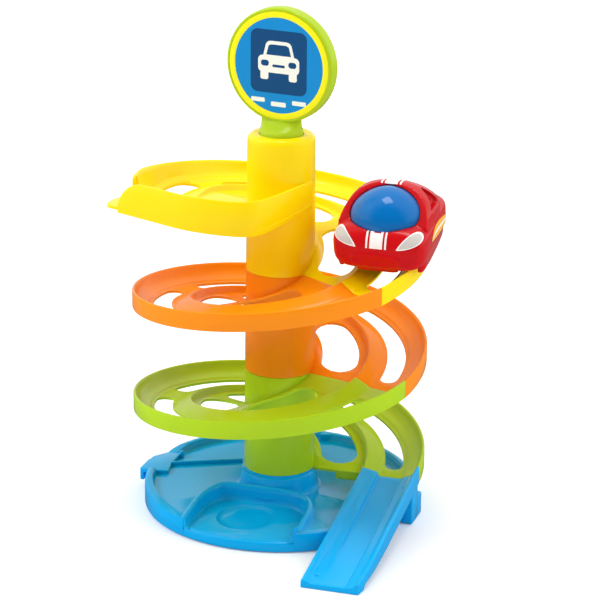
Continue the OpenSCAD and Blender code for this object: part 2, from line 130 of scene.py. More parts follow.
def settle(piece, body, finish, nodes, smooth=38):
    """Brings a drawn piece to metres and hands it to its body in place of its CAD nodes."""
    pick(piece)
    piece.scale = (0.001, 0.001, 0.001)
    bpy.ops.object.transform_apply(location=True, rotation=True, scale=True)
    bpy.ops.object.shade_smooth_by_angle(angle=math.radians(smooth))
    piece.data.materials.clear()
    piece.data.materials.append(finish)
    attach(piece, body)
    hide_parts(*nodes)


def paint(code):
    """Linear colour of an sRGB hex value."""
    parts = [int(code[i:i + 2], 16) / 255 for i in (1, 3, 5)]
    return tuple(c / 12.92 if c <= 0.04045 else ((c + 0.055) / 1.055) ** 2.4 for c in parts) + (1,)


def node(tree, kind, links=(), inputs=(), **settings):
    """Adds one node: links are (socket, other node, its output), inputs are (socket, value)."""
    made = tree.nodes.new(kind)
    for key, value in settings.items():
        setattr(made, key, value)
    for socket, value in inputs:
        made.inputs[socket].default_value = value
    for socket, other, output in links:
        tree.links.new(other.outputs[output], made.inputs[socket])
    return made


def moulded_abs(name, face, flow, gloss=0.2, shine=0.5):
    """Injection-moulded gloss ABS. The pigment swirls a little along the melt's flow, over some 40 mm,
    and the polished tool leaves a faint orange peel of about 3 mm that breaks up the reflections."""
    made = bpy.data.materials.new(name)
    made.use_nodes = True
    tree = made.node_tree
    shader = tree.nodes["Principled BSDF"]
    coords = node(tree, "ShaderNodeTexCoord")
    swirl = node(tree, "ShaderNodeTexNoise", [("Vector", coords, "Object")],
                 [("Scale", 1 / 0.040), ("Detail", 2.0)])
    tint = node(tree, "ShaderNodeMix", [("Factor", swirl, "Fac")], data_type="RGBA")
    tint.inputs["A"].default_value = paint(face)
    tint.inputs["B"].default_value = paint(flow)
    peel = node(tree, "ShaderNodeTexNoise", [("Vector", coords, "Object")],
                [("Scale", 1 / 0.003), ("Detail", 1.0)])
    haze = node(tree, "ShaderNodeMapRange", [("Value", swirl, "Fac")],
                [("To Min", gloss - 0.05), ("To Max", gloss + 0.07)])
    skin = node(tree, "ShaderNodeBump", [("Height", peel, "Fac")],
                [("Strength", 0.035), ("Distance", 0.0004)])
    tree.links.new(tint.outputs["Result"], shader.inputs["Base Color"])
    tree.links.new(haze.outputs["Result"], shader.inputs["Roughness"])
    tree.links.new(skin.outputs["Normal"], shader.inputs["Normal"])
    shader.inputs["IOR"].default_value = 1.54
    shader.inputs["Specular IOR Level"].default_value = shine
    return made


blue_abs = moulded_abs("blue_abs_gloss_moulded", "#02B0F5", "#02AAEF", gloss=0.12, shine=0.35)
floor_plate = turned("floor_plate", [
    (0, 8.5), (60, 8.5), (97.6, 8.5), (99.8, 8.1), (101.2, 7.1), (101.8, 5.6), (101.85, 1.5), (101.4, 0.5),
    (100.4, 0), (99.5, 0.35), (99.3, 1.1), (99.3, 4.6), (60, 4.6), (0, 4.6)], steps=120, closed=False)
dish = turned("dish", [
    (0, 5.15), (9, 5.2), (14, 5.5), (17.6, 6.1), (19.8, 7), (21, 8.1), (21.6, 8.9), (21.6, 12), (0, 12)],
    steps=72, closed=False)
dish.scale = (1, 1.16, 1)
dish.location = (-6.5, -60, 0)
cut(floor_plate, dish)
soften(floor_plate, 0.9, angle=24)
deck = turned("deck", [
    (24, 10.5), (24, 13), (93, 13), (94.4, 13.3), (95.2, 14.1), (95.6, 16.6), (96.1, 18.2), (97.2, 19),
    (99.3, 19), (100.9, 18.4), (101.8, 17.2), (102, 16), (102, 1.5), (101.6, 0.5), (100.5, 0), (99.6, 0.3),
    (99.4, 1), (99.4, 10.5)], steps=120)


def eased(line, rounds=2):
    """Cuts the corners of a line, so that it runs smoothly between the same ends."""
    for _ in range(rounds):
        cut_line = [line[0]]
        for a, b in zip(line, line[1:]):
            cut_line += [(0.75 * a[0] + 0.25 * b[0], 0.75 * a[1] + 0.25 * b[1]),
                         (0.25 * a[0] + 0.75 * b[0], 0.25 * a[1] + 0.75 * b[1])]
        line = cut_line + [line[-1]]
    return line


def left_of(line, i):
    """The direction to the left of a line at its point i."""
    before, after = line[max(i - 1, 0)], line[min(i + 1, len(line) - 1)]
    way = Vector((after[0] - before[0], after[1] - before[1])).normalized()
    return Vector((-way.y, way.x))


bay_line = eased([
    (-44, -96), (-44, -88), (-44.2, -74), (-44.4, -58), (-42.6, -48), (-39, -39), (-35.4, -32.4),
    (-29.5, -30), (-18, -29.8), (0, -30), (14, -30.4), (25.5, -32.4), (33, -37), (38, -44.6), (40.3, -54),
    (41.1, -66), (41.5, -80), (41.6, -88), (41.6, -96)])
ramp_side = [(64, -130), (130, -130), (130, -25), (64, -25)]
cut(deck, slab("bay_room", [(-44, -130)] + bay_line + [(41.6, -130)], -2, 40))
cut(deck, slab("low_rim", [(42.5, -130), (66, -130), (66, -60), (42.5, -60)], 14.4, 40))
rim_fall = slab("rim_fall", [(-130, -110), (-43, -110), (-43, 0), (-130, 0)], 0, 40)
rim_fall.data.transform(Matrix.Translation((0, -28, 19.1)) @ Matrix.Rotation(math.radians(4.3), 4, "X"))
cut(deck, rim_fall)
cut(deck, slab("ramp_room", ramp_side, -2, 40))
cut(deck, slab("connector_room", [(-125, -15), (-80, -15), (-80, 24), (-125, 24)], 13.02, 40))
rim_rise = slab("rim_rise", [(-125, 0), (-80, 0), (-80, 18), (-125, 18)], 0, 30)
rim_rise.data.transform(Matrix.Translation((0, 23.9, 15.9)) @ Matrix.Rotation(math.radians(10.8), 4, "X"))
cut(deck, rim_rise)
soften(deck, 1.0, angle=50)
cut(floor_plate, slab("ramp_room", ramp_side, -2, 40))
kerb_section = [(-4.8, 8.2), (-3.4, 8.8), (-2.5, 10.2), (-2.2, 13), (-2, 17.2), (-1.6, 19.4), (-0.7, 20.9),
                (0.4, 21.5), (1.5, 21.2), (2.4, 20.2), (2.9, 18.4), (3.2, 15.6), (3.7, 13.8), (4.7, 12.9),
                (4.7, 9), (-4.8, 7)]
kerb_rings = []
for i, (x, y) in enumerate(bay_line):
    out = left_of(bay_line, i)
    share = 1 - 0.42 * max(0.0, min(1.0, (-y - 32) / 55))
    if x > 0:
        share -= 0.17 * max(0.0, min(1.0, (-y - 66) / 24))
    kerb_rings.append([(x + out.x * u, y + out.y * u, 8 + (z - 8) * share if z > 8 else z)
                       for u, z in kerb_section])
kerb = loft("kerb", kerb_rings)
base_round = turned("base_round", [(0, -5), (101.7, -5), (101.7, 40), (0, 40)], steps=120, closed=False)
cut(kerb, base_round, "INTERSECT")
soften(kerb, 1.6, angle=50, segments=4)
hub = turned("hub", [
    (20, 12), (33.4, 12.6), (31.4, 13.1), (30.1, 14.1), (29.5, 16), (28.9, 21), (28.5, 25.6), (28.1, 26.7),
    (27.2, 27.2), (26.6, 27.3), (26.5, 29), (20, 29)])
connector = slab("connector", [
    (-107.6, 11), (-106.6, 14.4), (-99.8, 24), (-96.6, 26.8), (-92.3, 28.8), (-88.6, 23.8), (-89, 5.6),
    (-85.6, -11.4), (-97, -14.3), (-108.3, -12.6)], 12.5, 16)
hook = slab("hook", [(-108.6, 7), (-105.2, 7), (-105.4, -12.3), (-108.6, -12.3)], 6, 15.9)
ridge = slab("ridge", [(-89.5, 5.2), (-39.3, 29.6), (-40.2, 31.6), (-90.4, 7.2)], 12.5, 16.2)
back_tab = slab("back_tab", [(3.9, 92.2), (20.2, 97.2), (19.2, 99.4), (4.4, 101)], 12.5, 18.8)
heel = slab("heel", [(92, -0.55), (109.5, -0.55), (109.5, 10.3), (92, 10.3)], 0, 16.9)
for trim in (connector, hook, ridge, back_tab, heel):
    soften(trim, 0.8)
pin = turned("pin", [(0, 18.2), (1.2, 18.1), (1.8, 17.5), (2, 16.6), (2, 12.5), (0, 12.5)], steps=24,
             closed=False)
pin.location = (-88, 25, 0)
base = joined([deck, floor_plate, kerb, hub, connector, hook, ridge, back_tab, heel, pin], "base_moulding")
settle(base, "tower", blue_abs, ["base"])


# Exit ramp. A blue chute clipped to the low end of the green track: the track's own section run straight
# to the floor, with a plain block of a leg under its high end.
def fillet_line(points, radius=0.8, steps=3):
    """Rounds the corners of an open line of section points."""
    line = [points[0]]
    for a, b, c in zip(points, points[1:], points[2:]):
        a, b, c = Vector(a), Vector(b), Vector(c)
        back, on = a - b, c - b
        reach = min(radius, 0.45 * back.length, 0.45 * on.length)
        start, end = b + back.normalized() * reach, b + on.normalized() * reach
        for i in range(steps + 1):
            t = i / steps
            line.append(tuple(start * (1 - t) ** 2 + b * 2 * t * (1 - t) + end * t * t))
    return line + [points[-1]]


def drawn_in(x, t):
    """The foot of the chute is a little wider at the tower's side and drawn in at its outer corner."""
    return 1.1 * t if x < 67 else 3.4 * t ** 8 * max(0.0, (x - 96) / 14)


ramp_top = fillet_line([
    (65.4, 0), (65.4, 4.9), (66.6, 5.5), (72, 4.4), (78, 3.2), (78.5, 0.5), (79.4, 0), (96.6, 0), (97.6, 1.6),
    (102.5, 3), (106.3, 6.4), (107.9, 11.4), (109, 11.8), (110, 11.2), (110, 5)], 0.7)
ramp_under = fillet_line([
    (110, 0), (110, -2), (107.8, -2), (107.7, 5.5), (105.6, 3.8), (102.8, 1), (98.4, -0.4), (97.4, -2),
    (79.3, -2), (78, -1), (68.3, 3.2), (67.4, -1.5), (65.4, -1.5)], 0.6)
ramp_rings = []
for i in range(49):
    t = 1 - i / 48
    y = -0.05 - 147.45 * t
    floor_z = 3.4 + 25.6 * (1 - t) ** 1.25
    fade = 1 - 0.62 * t ** 4
    step = (1 - min(1.0, t / 0.94) ** 2) ** 1.6
    upper = []
    for x, z in ramp_top:
        if 68 < x < 79:
            z *= step + (1 - step) * max(0.0, (72 - x) / 4)
        upper.append((x - drawn_in(x, t), y, floor_z + z * fade))
    lower = [(x - drawn_in(x, t), y, 0 if t > 0.93 else max(0, floor_z + z * fade)) for x, z in ramp_under]
    ramp_rings.append(upper + lower)
chute = loft("chute", ramp_rings)
soften(chute, 0.7, angle=48)
leg = slab("leg", [(101, -16), (109.6, -16), (109.6, -0.7), (101, -0.7)], 0, 29.4)
soften(leg, 1.2)
settle(joined([chute, leg], "exit_ramp_moulding"), "tower", blue_abs, ["exit_ramp"])


# Green tier. One ABS moulding: a tapered column with a banked spiral lane round it, pierced by long slots and
# by windows beside the column, with a small tab under the lane's foot. Its column stands on the base's hub.
# Seen from above the lane runs down clockwise.
tier_turn, tier_gap = 344.5, 15.5
tier_rise, hub_top = 78, 29
slot_in, slot_out, slot_mid = 80.6, 94.2, 87.4
window_in, window_out, window_mid = 32, 59.3, 45.65
window_end = 46


def lane_height(tier, above):
    """Height of the lane's groove at an angle above the tier's low end, in degrees."""
    u = max(0.0, 1 - above / tier_turn)
    return hub_top + tier_rise * tier + tier_rise * (1 - (u - 0.08 * math.sin(math.pi * u ** 2.2)))


def spiral(name, tier, top, slots, windows, level=None, wall_more=0.0, wide=0.0):
    """A spiral lane from its low end up to the angle top; slots and windows are angles from the top end.
    With a level the lane runs out flat at that height and its outer wall grows by wall_more on the way.
    wide is how much further out the first slot reaches."""
    skin = [(0, 0.5), (window_in, 0.5), (window_out, 0.5), (63.4, 0.5), (64.5, 0.85), (65.1, 1.9),
            (65.8, 4.1), (66.2, 4.95), (66.9, 5.35), (67.8, 5.15), (70, 4.3), (74, 2.75), (77, 1.58),
            (78.2, 1), (79, 0.38), (79.7, 0.05), (slot_in, 0), (slot_out, 0), (95.8, 0.1), (96.6, 0.55),
            (97.2, 1.3), (98.2, 1.8), (100.4, 2.4), (102.4, 3.05), (104.3, 4.3), (105.8, 5.9), (106.8, 7.9),
            (107.5, 10.2), (107.95, 11.2), (108.5, 11.7), (109.1, 11.8), (109.7, 11.5), (110, 10.7)]
    under = [(110, -1.2), (109.7, -1.8), (109, -2), (108.2, -1.8), (107.8, -1.2), (107.6, 4.6), (106.9, 5.1),
             (105.6, 3.8), (102.8, 1), (98.4, -0.4), (97, -1.8), (slot_out, -2), (slot_in, -2), (79.4, -1.9),
             (78, -1), (68.6, 2.9), (67.6, 2.6), (67, -1.2), (66, -1.5), (window_out, -1.5),
             (window_in, -1.5), (0, -1.5)]
    section = skin + under
    marks = {0.0, top - 0.05}
    for ends, radius in ((slots, slot_mid), (windows, window_end)):
        for low, high in ends:
            for d in (0, 0.5, 1.4, 2.8, 4.6, 6.8, 9.5):
                step = math.degrees(d / radius)
                marks |= {tier_turn - low - step, tier_turn - high + step}
    ordered = sorted(a for a in marks if 0 <= a <= top)
    filled = [ordered[0]]
    for a in ordered[1:]:
        if a - filled[-1] < 0.12:
            continue
        parts = math.ceil((a - filled[-1]) / 2.4)
        begin = filled[-1]
        filled += [begin + (a - begin) * i / parts for i in range(1, parts + 1)]

    def squeeze(a, ends, radius, reach, least):
        """How far a pierced edge stands open at this angle: round at both ends of the opening."""
        s = tier_turn - a
        for low, high in ends:
            if low - 0.01 < s < high + 0.01:
                d = math.radians(min(s - low, high - s)) * radius
                return max(least, math.sqrt(max(0.0, 1 - (1 - min(1, d / reach)) ** 2)))
        return 1.0

    rings = []
    for a in filled:
        turn = math.radians(a - tier_gap * tier)
        groove = lane_height(tier, a)
        lift, calm = 0.0, 1.0
        if level is not None:
            seen_at = a - tier_gap * tier
            lift = min(8.0, max(0.0, groove - level) + wall_more * max(0.0, (seen_at - 90) / 91))
            groove = min(groove, level)
            calm = min(1.0, max(0.0, (190 - seen_at) / 45))
        bore = 26.7 - 0.5 * tier - 0.5 * (groove - hub_top - tier_rise * tier) / tier_rise - 0.3
        slot_open = squeeze(a, slots, slot_mid, 6.8, 0.06)
        window_open = squeeze(a, windows, window_end, 9.5, 0.3)
        reach = wide * slot_open if slots[0][0] < tier_turn - a < slots[0][1] else 0.0
        ring = []
        for i, (r, z) in enumerate(section):
            pushed = reach * (102.4 - r) / 8.2 if 94 < r < 102.4 else 0.0
            if r == 0:
                r = bore
            elif r in (window_in, window_out):
                r = window_mid + (r - window_mid) * window_open
            elif r in (slot_in, slot_out):
                r = slot_mid + (r - slot_mid) * slot_open
            r += pushed
            wall = r > 106.5
            if i < len(skin):
                z = z + lift if wall else z * calm
            elif z > 0 or not wall:
                z = -2 + (z + 2) * calm
            ring.append((r * math.cos(turn), r * math.sin(turn), groove + z))
        rings.append(ring)
    openings = [(tier_turn - high, tier_turn - low, slot_in, slot_out) for low, high in slots]
    openings += [(tier_turn - high, tier_turn - low, window_in, window_out) for low, high in windows]
    columns = {r: [i for i, p in enumerate(section) if p[0] == r]
               for r in (window_in, window_out, slot_in, slot_out)}
    pierced = []
    for row, (a, b) in enumerate(zip(filled, filled[1:])):
        for low, high, inner, outer in openings:
            if low < (a + b) / 2 < high:
                pierced += [(row, columns[inner][0]), (row, columns[outer][1])]
    made = loft(name, rings, pierced=pierced)

    def polar(co):
        """Angle above the tier's low end, and radius."""
        a = math.degrees(math.atan2(co.y, co.x)) + tier_gap * tier
        return a % 360, math.hypot(co.x, co.y)

    bpy.ops.object.mode_set(mode="EDIT")
    bpy.ops.mesh.select_mode(type="FACE")
    bpy.ops.mesh.select_all(action="DESELECT")
    bpy.ops.object.mode_set(mode="OBJECT")
    for face, mark in zip(made.data.polygons, made.data.attributes["pierced"].data):
        face.select = mark.value == 1
    bpy.ops.object.mode_set(mode="EDIT")
    bpy.ops.mesh.delete(type="FACE")
    for low, high, inner, outer in openings:
        pick_open_edges()
        bpy.ops.object.mode_set(mode="OBJECT")
        for edge in made.data.edges:
            if edge.select:
                a, r = polar((made.data.vertices[edge.vertices[0]].co
                              + made.data.vertices[edge.vertices[1]].co) / 2)
                edge.select = low - 0.2 < a < high + 0.2 and inner - 0.3 < r < outer + wide + 0.3
        bpy.ops.object.mode_set(mode="EDIT")
        bpy.ops.mesh.bridge_edge_loops()
    bpy.ops.mesh.select_all(action="SELECT")
    bpy.ops.mesh.normals_make_consistent(inside=False)
    bpy.ops.object.mode_set(mode="OBJECT")
    made.data.attributes.remove(made.data.attributes["pierced"])
    soften(made, 0.55, angle=52, segments=2)
    return made


def tower_tube(name, tier):
    """The column of one tier: it narrows upwards and plugs into the next one."""
    low = hub_top + tier_rise * tier
    high = low + tier_rise
    foot, head = 26.7 - 0.5 * tier, 26.2 - 0.5 * tier
    return turned(name, [
        (foot - 2.2, low + 0.3), (foot - 0.4, low + 0.05), (foot - 0.05, low + 0.35), (foot, low + 0.8),
        (head, high - 0.8), (head - 0.05, high - 0.35), (head - 0.4, high - 0.05), (head - 2.35, high),
        (head - 2.35, high + 7), (head - 3.35, high + 8), (head - 4.55, high + 8), (head - 4.55, high - 6),
        (foot - 2.2, high - 12)])


full_slots = [(12, 74), (88, 160), (175, 250), (264, 338)]
full_windows = [(22, 90), (104, 172), (186, 254), (268, 336)]
green_abs = moulded_abs("lime_green_abs_gloss_moulded", "#B2D51F", "#A8CD1D", gloss=0.2, shine=0.25)
green_lane = spiral("green_track_moulding", 0, tier_turn, full_slots, full_windows)
foot_tab = slab("foot_tab", [(44.7, 0.3), (62.2, 0.3), (62.2, 2.6), (44.7, 2.6)], 22.3, 27.6)
soften(foot_tab, 0.5)
green_lane = joined([green_lane, foot_tab], "green_track_moulding")
settle(green_lane, "tower", green_abs, ["green_track"])
settle(tower_tube("green_column_moulding", 0), "tower", green_abs, ["green_column"])


# Orange tier. The same tool as the green one, run in orange ABS and turned back by the gap between the ends.
# It plugs on the green column.
orange_abs = moulded_abs("orange_abs_gloss_moulded", "#FC9411", "#F98A0C", gloss=0.2, shine=0.25)
orange_lane = spiral("orange_track_moulding", 1, tier_turn, full_slots, full_windows)
settle(orange_lane, "tower", orange_abs, ["orange_track"])
settle(tower_tube("orange_column_moulding", 1), "tower", orange_abs, ["orange_column"])


# Yellow tier. A yellow ABS moulding that plugs on the orange column. The lane runs up to a level launch
# platform with a tall front wall and an open lip at the left; the column carries on over the platform and
# ends in a rounded shoulder with the sign's socket.
platform_level = 231.5
yellow_abs = moulded_abs("yellow_abs_gloss_moulded", "#FFE405", "#FEDA03", gloss=0.18, shine=0.28)
yellow_lane = spiral("yellow_track_moulding", 2, 221, [(130, 160), (175, 250), (264, 338)],
                     [(186, 254), (268, 336)], level=platform_level, wall_more=4.3, wide=6.2)
settle(yellow_lane, "tower", yellow_abs, ["yellow_track"])
yellow_tube = turned("yellow_column_moulding", [
    (23.5, 185.3), (25.3, 185.05), (25.65, 185.35), (25.7, 185.8), (24.9, 282.6), (24.75, 284.4),
    (24.2, 285.9), (23.2, 287.1), (21.9, 287.8), (20.4, 288), (17.2, 288), (16.6, 287.8), (16.4, 287.2),
    (16.4, 266), (10.4, 266), (10.4, 263.8), (18.4, 263.8), (18.4, 285.6), (21.5, 285.6), (22.7, 282)])
settle(yellow_tube, "tower", yellow_abs, ["yellow_column"])
end_rise = 7.5


def end_climb(x, y):
    """How far the right end of the platform has risen towards the column, from 0 to 1."""
    return max(0.0, min(1.0, (y + 66) / 59)) ** 1.3 if x > 0 else 0.0


wall_line = eased([
    (-113, -40.5), (-98, -46.95), (-83, -53.4), (-68, -59.85), (-53, -66.0), (-37, -69.4), (-22, -70.4),
    (-12, -70), (-5.5, -68.4), (-1, -66), (2.6, -62.9), (5.6, -58.8), (8.2, -53.6), (12.2, -43.6),
    (16.2, -34), (20.4, -22.4), (23.8, -13), (25.9, -7)])
wall_rings = []
run = 0.0
for i, (x, y) in enumerate(wall_line):
    inward = left_of(wall_line, i)
    run += math.hypot(x - wall_line[i - 1][0], y - wall_line[i - 1][1]) if i else 0
    top = max(233.6, 232 + 21.5 * math.sqrt(max(0.0, 1 - (1 - min(1.0, run / 27)) ** 2)) ** 1.15)
    climb = end_climb(x, y)
    top += 2.6 * climb
    section = [(0.15, 227.5), (0, 227.9), (0, top - 0.9), (0.3, top - 0.25), (1.05, top), (1.8, top - 0.25),
               (2.1, top - 0.9), (2.1, 232.6), (2.4, 231.8), (3.2, 231.4), (3.2, 229.6), (2.4, 229.3),
               (2.1, 228.6), (2.1, 227.9), (1.95, 227.5)]
    section = [(u, z + end_rise * climb if z < 233 else z) for u, z in section]
    wall_rings.append([(x + inward.x * u, y + inward.y * u, z) for u, z in section])
front_wall = loft("front_wall", wall_rings)
floor_edge = [(-108.2, -18.9), (-111, -13.4), (-116.5, -12.6), (-119.3, -13), (-121.6, -15.4), (-124, -19.8),
              (-124.5, -26), (-124.4, -32), (-123.2, -35.4), (-119.6, -38.3), (-113, -40.2)]
floor_edge += [(x + 0.5, y + 0.6) for x, y in wall_line[1:]]
round_column = [math.radians(-40 - 130.2 * i / 16) for i in range(17)]
floor_edge += [(25.2 * math.cos(a), 25.2 * math.sin(a)) for a in round_column]
platform_floor = slab("platform_floor", floor_edge, platform_level - 2, platform_level)
for vertex in platform_floor.data.vertices:
    vertex.co.z += end_rise * end_climb(vertex.co.x, vertex.co.y)
soften(platform_floor, 0.6, angle=50)
end_rings = []
for i in range(9):
    a = math.radians(189.96 + 3.0 * i / 8)
    top = 251.3 - 3.5 * (1 - math.sqrt(1 - (i / 8) ** 4))
    end_rings.append([(r * math.cos(a), r * math.sin(a), z) for r, z in (
        (107.95, 229.6), (107.95, top - 0.6), (108.5, top), (109.4, top), (110, top - 0.6), (110, 229.6))])
wall_end = loft("wall_end", end_rings)
platform = joined([front_wall, platform_floor, wall_end], "yellow_platform_moulding")
settle(platform, "tower", yellow_abs, ["yellow_platform"])


# Sign. A lime disc with a rolled edge on a round stem that turns in the column's socket. A printed film
# lies in a shallow recess on each face: a yellow ring, a blue field and a plain white car over road dashes.
def place(piece, matrix):
    """Moves a drawn piece, still in millimetres, and leaves its object at the origin."""
    piece.matrix_world = matrix
    pick(piece)
    bpy.ops.object.transform_apply(location=True, rotation=True, scale=True)
    return piece


def dressed(piece, finish):
    """Gives a piece one finish."""
    piece.data.materials.clear()
    piece.data.materials.append(finish)
    return piece


def printed_film(name, ink, gloss=0.34):
    """Screen-printed vinyl film: even ink with a fine mottle, drawn at 1.2 mm so that it shows, and the
    slight waviness of a film pressed down by hand, over some 9 mm."""
    made = bpy.data.materials.new(name)
    made.use_nodes = True
    tree = made.node_tree
    shader = tree.nodes["Principled BSDF"]
    coords = node(tree, "ShaderNodeTexCoord")
    mottle = node(tree, "ShaderNodeTexNoise", [("Vector", coords, "Object")],
                  [("Scale", 1 / 0.0012), ("Detail", 2.0)])
    shade = node(tree, "ShaderNodeHueSaturation")
    shade.inputs["Color"].default_value = paint(ink)
    value = node(tree, "ShaderNodeMapRange", [("Value", mottle, "Fac")], [("To Min", 0.95), ("To Max", 1.05)])
    tree.links.new(value.outputs["Result"], shade.inputs["Value"])
    wave = node(tree, "ShaderNodeTexNoise", [("Vector", coords, "Object")],
                [("Scale", 1 / 0.009), ("Detail", 1.0)])
    skin = node(tree, "ShaderNodeBump", [("Height", wave, "Fac")], [("Strength", 0.03), ("Distance", 0.0003)])
    tree.links.new(shade.outputs["Color"], shader.inputs["Base Color"])
    tree.links.new(skin.outputs["Normal"], shader.inputs["Normal"])
    shader.inputs["Roughness"].default_value = gloss
    shader.inputs["IOR"].default_value = 1.5
    shader.inputs["Specular IOR Level"].default_value = 0.25
    return made


lime_abs = moulded_abs("lime_abs_gloss_moulded", "#B5D01E", "#AAC81C", gloss=0.2, shine=0.3)
half_disc = [(0, 5.15), (39.5, 5.15), (39.85, 5.25), (40, 5.5), (40.35, 5.72), (41.1, 5.6), (41.8, 5.15),
             (42.2, 4.4), (42.3, 3.5)]
whole_disc = half_disc + [(r, -y) for r, y in reversed(half_disc)]
sign_disc = turned("sign_disc_moulding", whole_disc, 120, closed=False)
disc_middle = Matrix.Translation((0, 0, 339))
upright = disc_middle @ Matrix.Rotation(math.radians(90), 4, "X")
place(sign_disc, upright)
stem_rings = []
for z, rx, ry in ((266.4, 15.2, 15.2), (266.7, 15.7, 15.7), (267.4, 16, 16), (280, 16, 16), (289.6, 16, 16),
                  (290.8, 15.9, 15.2), (292.4, 15.85, 12.6), (294.2, 15.9, 9.4), (295.6, 16, 7.2),
                  (297, 16, 5.9), (299, 16, 5.3), (306, 16, 5)):
    stem_rings.append([(rx * math.cos(2 * math.pi * i / 64), ry * math.sin(2 * math.pi * i / 64), z)
                       for i in range(64)])
stem = loft("stem", stem_rings)
sign_turned = Matrix.Rotation(math.radians(-8), 4, "Z")
settle(place(joined([sign_disc, stem], "sign_disc_moulding"), sign_turned), "sign", lime_abs,
       ["sign_disc"])
film_yellow = printed_film("screen_printed_film_yellow", "#F8F210")
film_blue = printed_film("screen_printed_film_blue", "#038CD4")
film_navy = printed_film("screen_printed_film_navy", "#084B80")
film_white = printed_film("screen_printed_film_white", "#F4F6EC")


def rounded_box(cx, cy, width, height, corner, steps=6):
    """Outline of a box with round corners about a middle point."""
    line = []
    for sx, sy, begin in ((1, 1, 0), (-1, 1, 90), (-1, -1, 180), (1, -1, 270)):
        for i in range(steps + 1):
            a = math.radians(begin + 90 * i / steps)
            line.append((cx + sx * (width / 2 - corner) + corner * math.cos(a),
                         cy + sy * (height / 2 - corner) + corner * math.sin(a)))
    return line


def printed_face(name):
    """The film, drawn flat with its face up: each ink stands a few hundredths of a millimetre proud."""
    field = dressed(turned(name, [(0, 0.36), (35.4, 0.36), (35.4, 0), (0, 0)], 120, closed=False), film_blue)
    edge = [(35.2, 0), (35.2, 0.36), (35.3, 0.39), (39.5, 0.39), (39.7, 0.3), (39.7, 0)]
    ring = dressed(turned("ring", edge, 120), film_yellow)
    navy = dressed(slab("navy", rounded_box(0, 2.6, 45, 46.5, 5.5), 0.1, 0.4), film_navy)
    shapes = [rounded_box(0, 0.6, 33, 12.5, 3.6),
              [(-12.6, 6), (-10.2, 15.4), (-8.6, 17.2), (-6.4, 17.8), (6.4, 17.8), (8.6, 17.2), (10.2, 15.4),
               (12.6, 6)],
              rounded_box(-11.4, -7.4, 6.4, 7, 1.6), rounded_box(11.4, -7.4, 6.4, 7, 1.6),
              rounded_box(0, -28.6, 12, 3.4, 0.8), rounded_box(-16.5, -26.4, 11, 3.2, 0.8),
              rounded_box(16.5, -26.4, 11, 3.2, 0.8)]
    whites = [dressed(slab("white", line, 0.1, 0.44 - 0.004 * i), film_white)
              for i, line in enumerate(shapes)]
    holes = [[(-9.9, 7.4), (-8.1, 14.2), (-6, 15.2), (6, 15.2), (8.1, 14.2), (9.9, 7.4)],
             rounded_box(-11, 1.2, 6.4, 4.4, 2.1), rounded_box(11, 1.2, 6.4, 4.4, 2.1),
             rounded_box(0, -0.4, 10, 2, 0.9)]
    lines = [dressed(slab("line", line, 0.1, 0.47), film_navy) for line in holes]
    return joined([field, ring, navy] + whites + lines, name)


def stick(piece, body, nodes, smooth=30):
    """Settles a piece that already wears its own inks."""
    inks = list(piece.data.materials)
    faces = [face.material_index for face in piece.data.polygons]
    settle(piece, body, inks[0], nodes, smooth)
    piece.data.materials.clear()
    for ink in inks:
        piece.data.materials.append(ink)
    for face, index in zip(piece.data.polygons, faces):
        face.material_index = index


for side, name in ((1, "front"), (-1, "back")):
    film = printed_face(f"sign_{name}_sticker")
    face_on = Matrix.Rotation(math.radians(0 if side == 1 else 180), 4, "Z")
    place(film, sign_turned @ disc_middle @ face_on
          @ Matrix.Rotation(math.radians(90), 4, "X") @ Matrix.Translation((0, 0, 5.16)))
    stick(film, "sign", [f"sign_label_{name}"])


# Car. A red moulded body over a dark chassis plate, with a blue dome for its windscreen. It is drawn
# on its own floor, nose towards -Y, and then set down on the yellow lane, tilted with it.
car_round, lane_radius, car_floor, lane_slope = 7, 84.25, 197.682, 11.8586
on_lane = (Matrix.Rotation(math.radians(car_round), 4, "Z")
           @ Matrix.Translation((lane_radius, 0, car_floor))
           @ Matrix.Rotation(math.radians(-car_round), 4, "Z")
           @ Matrix.Rotation(math.radians(lane_slope), 4, "X"))
red_abs = moulded_abs("red_abs_gloss_moulded", "#CE1118", "#C40F15", gloss=0.12, shine=0.25)
body_line = [(-44, 18.9, 22, 27, 17), (-43.2, 25.2, 24.5, 31, 15.5), (-41.5, 29.75, 26.5, 35.5, 14),
             (-39, 32.2, 28, 39.5, 13.2), (-35, 34.1, 28, 42.3, 13), (-28, 35, 28, 43.3, 13),
             (-15, 35, 28, 43.5, 13), (4.8, 34.5, 28, 43.3, 13), (17.6, 33.8, 28, 43.6, 13),
             (26.4, 33.25, 28, 42.6, 13), (33, 31.7, 28, 40.5, 13), (37.8, 29, 27, 36.5, 14),
             (41.4, 24.5, 24, 31.5, 16)]
roof_line = [(-24.2, 33.6, 62.4), (-4.8, 33.6, 62.8), (0.7, 33.6, 62), (7.9, 33.25, 60.8), (13, 32.7, 58.8),
             (19.8, 31.5, 55.2), (25.1, 30.1, 51.2), (29.9, 28, 47), (36.1, 23.8, 41.4), (39.6, 17.5, 36)]


def glide(rows, parts):
    """Smooth rows between the given ones."""
    line = []
    for i in range(len(rows) - 1):
        a, b, c, d = (rows[max(i - 1, 0)], rows[i], rows[i + 1], rows[min(i + 2, len(rows) - 1)])
        for j in range(parts):
            t = j / parts
            line.append(tuple(0.5 * (2 * q + (r - p) * t + (2 * p - 5 * q + 4 * r - s) * t * t
                                     + (3 * q - p - 3 * r + s) * t ** 3) for p, q, r, s in zip(a, b, c, d)))
    return line + [rows[-1]]


